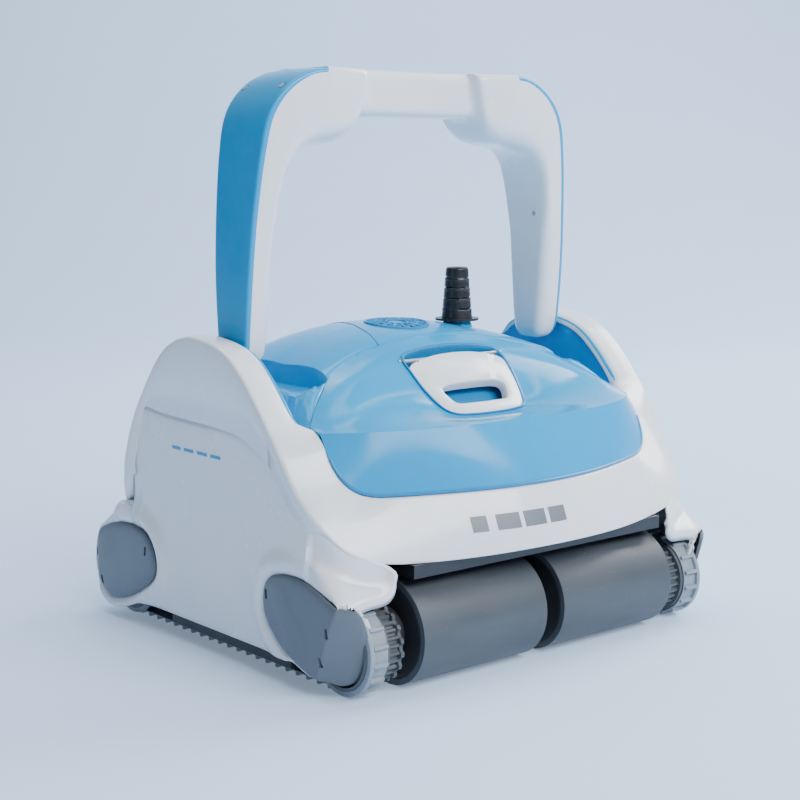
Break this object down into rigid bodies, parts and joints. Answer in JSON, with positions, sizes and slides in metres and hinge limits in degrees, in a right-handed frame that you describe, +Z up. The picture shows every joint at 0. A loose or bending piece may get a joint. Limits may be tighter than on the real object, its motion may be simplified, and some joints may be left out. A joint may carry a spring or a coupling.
{
  "type": "pool cleaner",
  "caption": "Twin-track robotic pool cleaner with scrubbing brushes, filter hatch, pump outlet and tall carrying handle.",
  "frame": {"origin": "on the floor plane, under the centre of the bounding box", "axes": "-Y is the front of the cleaner, where the hatch opens; +X across the body; +Z up"},
  "size_m": [0.43, 0.4198, 0.485],
  "materials": {
    "white_plastic": "gloss",
    "blue_plastic": "gloss",
    "grey_plastic": "satin",
    "dark_plastic": "satin",
    "grey_rubber": "satin",
    "black_rubber": "matte",
    "brush_pvc": "satin",
    "steel": "satin",
    "brass": "satin",
    "filter_cloth": "matte",
    "foam": "matte",
    "bearing_plastic": "satin"
  },
  "bodies": {
    "root": {"chassis_tub": "dark_plastic", "hood_front": "dark_plastic", "hood_rear": "dark_plastic", "top_frame": "white_plastic", "side_panel_l": "white_plastic", "side_panel_r": "white_plastic", "rear_cover": "blue_plastic", "outlet_grille": "blue_plastic", "outlet_duct": "dark_plastic", "gland_seat": "black_rubber", "cable_gland": "black_rubber", "wheel_cover_fl": "grey_plastic", "wheel_cover_fr": "grey_plastic", "wheel_cover_rl": "grey_plastic", "wheel_cover_rr": "grey_plastic", "cover_screws": "steel", "track_l": "grey_rubber", "track_r_side": "grey_rubber", "track_frame_l": "dark_plastic", "track_frame_r": "dark_plastic", "stub_axles": "steel", "brush_bushes": "bearing_plastic", "drive_motors": "steel", "idler_pins": "steel", "motor_case": "dark_plastic", "pump_motor": "steel", "filter_frame": "dark_plastic", "filter_mesh": "filter_cloth", "hatch_pins": "steel", "handle_pins": "steel"},
    "wheel_fl": {"wheel_fl": "grey_plastic", "wheel_bushes_fl": "bearing_plastic"},
    "brush_fl": {"brush_core_fl": "dark_plastic", "brush_sleeve_fl": "brush_pvc"},
    "wheel_fr": {"wheel_fr": "grey_plastic", "wheel_bushes_fr": "bearing_plastic"},
    "brush_fr": {"brush_core_fr": "dark_plastic", "brush_sleeve_fr": "brush_pvc"},
    "wheel_rl": {"wheel_rl": "grey_plastic", "wheel_bushes_rl": "bearing_plastic"},
    "brush_rl": {"brush_core_rl": "dark_plastic", "brush_sleeve_rl": "brush_pvc"},
    "wheel_rr": {"wheel_rr": "grey_plastic", "wheel_bushes_rr": "bearing_plastic"},
    "brush_rr": {"brush_core_rr": "dark_plastic", "brush_sleeve_rr": "brush_pvc"},
    "idler_l": {"idler_gear_l": "grey_plastic"},
    "pinion_l": {"motor_pinion_l": "brass"},
    "idler_r": {"idler_gear_r": "grey_plastic"},
    "pinion_r": {"motor_pinion_r": "brass"},
    "impeller": {"impeller": "dark_plastic"},
    "hatch": {"hatch": "blue_plastic", "latch_pin": "steel"},
    "latch": {"latch_handle": "white_plastic"},
    "handle": {"handle_shell": "white_plastic", "handle_cover_l": "blue_plastic", "handle_cover_r": "blue_plastic", "handle_floats": "foam", "handle_screws": "steel"}
  },
  "joints": [
    {"name": "wheel_fl_spin", "type": "hinge", "parent": "root", "child": "wheel_fl", "pos_m": [-0.18, -0.157, 0.037], "axis": [1, 0, 0], "continuous": true},
    {"name": "brush_fl_spin", "type": "hinge", "parent": "root", "child": "brush_fl", "pos_m": [-0.076, -0.157, 0.043], "axis": [1, 0, 0], "continuous": true},
    {"name": "wheel_fr_spin", "type": "hinge", "parent": "root", "child": "wheel_fr", "pos_m": [0.18, -0.157, 0.037], "axis": [1, 0, 0], "continuous": true},
    {"name": "brush_fr_spin", "type": "hinge", "parent": "root", "child": "brush_fr", "pos_m": [0.076, -0.157, 0.043], "axis": [1, 0, 0], "continuous": true},
    {"name": "wheel_rl_spin", "type": "hinge", "parent": "root", "child": "wheel_rl", "pos_m": [-0.18, 0.154, 0.037], "axis": [1, 0, 0], "continuous": true},
    {"name": "brush_rl_spin", "type": "hinge", "parent": "root", "child": "brush_rl", "pos_m": [-0.076, 0.154, 0.043], "axis": [1, 0, 0], "continuous": true},
    {"name": "wheel_rr_spin", "type": "hinge", "parent": "root", "child": "wheel_rr", "pos_m": [0.18, 0.154, 0.037], "axis": [1, 0, 0], "continuous": true},
    {"name": "brush_rr_spin", "type": "hinge", "parent": "root", "child": "brush_rr", "pos_m": [0.076, 0.154, 0.043], "axis": [1, 0, 0], "continuous": true},
    {"name": "idler_l_spin", "type": "hinge", "parent": "root", "child": "idler_l", "pos_m": [-0.162, 0.11003, 0.04318], "axis": [1, 0, 0], "continuous": true},
    {"name": "pinion_l_spin", "type": "hinge", "parent": "root", "child": "pinion_l", "pos_m": [-0.162, 0.08763, 0.04318], "axis": [1, 0, 0], "continuous": true},
    {"name": "idler_r_spin", "type": "hinge", "parent": "root", "child": "idler_r", "pos_m": [0.162, 0.11003, 0.04318], "axis": [1, 0, 0], "continuous": true},
    {"name": "pinion_r_spin", "type": "hinge", "parent": "root", "child": "pinion_r", "pos_m": [0.162, 0.08763, 0.04318], "axis": [1, 0, 0], "continuous": true},
    {"name": "impeller_spin", "type": "hinge", "parent": "root", "child": "impeller", "pos_m": [0, 0.005, 0.224], "axis": [0, 0, 1], "continuous": true},
    {"name": "hatch_hinge", "type": "hinge", "parent": "root", "child": "hatch", "pos_m": [0, -0.1892, 0.1476], "axis": [1, 0, 0], "range_deg": [0, 75]},
    {"name": "latch_hinge", "type": "hinge", "parent": "hatch", "child": "latch", "pos_m": [0, -0.068, 0.2405], "axis": [-1, 0, 0], "range_deg": [0, 30], "stiffness_Nm_per_rad": 0.15, "springref_deg": -11.46},
    {"name": "handle_hinge", "type": "hinge", "parent": "root", "child": "handle", "pos_m": [0, 0.002, 0.258], "axis": [1, 0, 0], "range_deg": [-40, 40]}
  ],
  "couplings": [
    {"joint": "wheel_fl_spin", "follows": "wheel_rl_spin", "ratio": 1},
    {"joint": "brush_fl_spin", "follows": "wheel_rl_spin", "ratio": 1.4545},
    {"joint": "brush_rl_spin", "follows": "wheel_rl_spin", "ratio": 1.4545},
    {"joint": "idler_l_spin", "follows": "wheel_rl_spin", "ratio": -1.5},
    {"joint": "pinion_l_spin", "follows": "wheel_rl_spin", "ratio": 2.5},
    {"joint": "wheel_fr_spin", "follows": "wheel_rr_spin", "ratio": 1},
    {"joint": "brush_fr_spin", "follows": "wheel_rr_spin", "ratio": 1.4545},
    {"joint": "brush_rr_spin", "follows": "wheel_rr_spin", "ratio": 1.4545},
    {"joint": "idler_r_spin", "follows": "wheel_rr_spin", "ratio": -1.5},
    {"joint": "pinion_r_spin", "follows": "wheel_rr_spin", "ratio": 2.5}
  ]
}
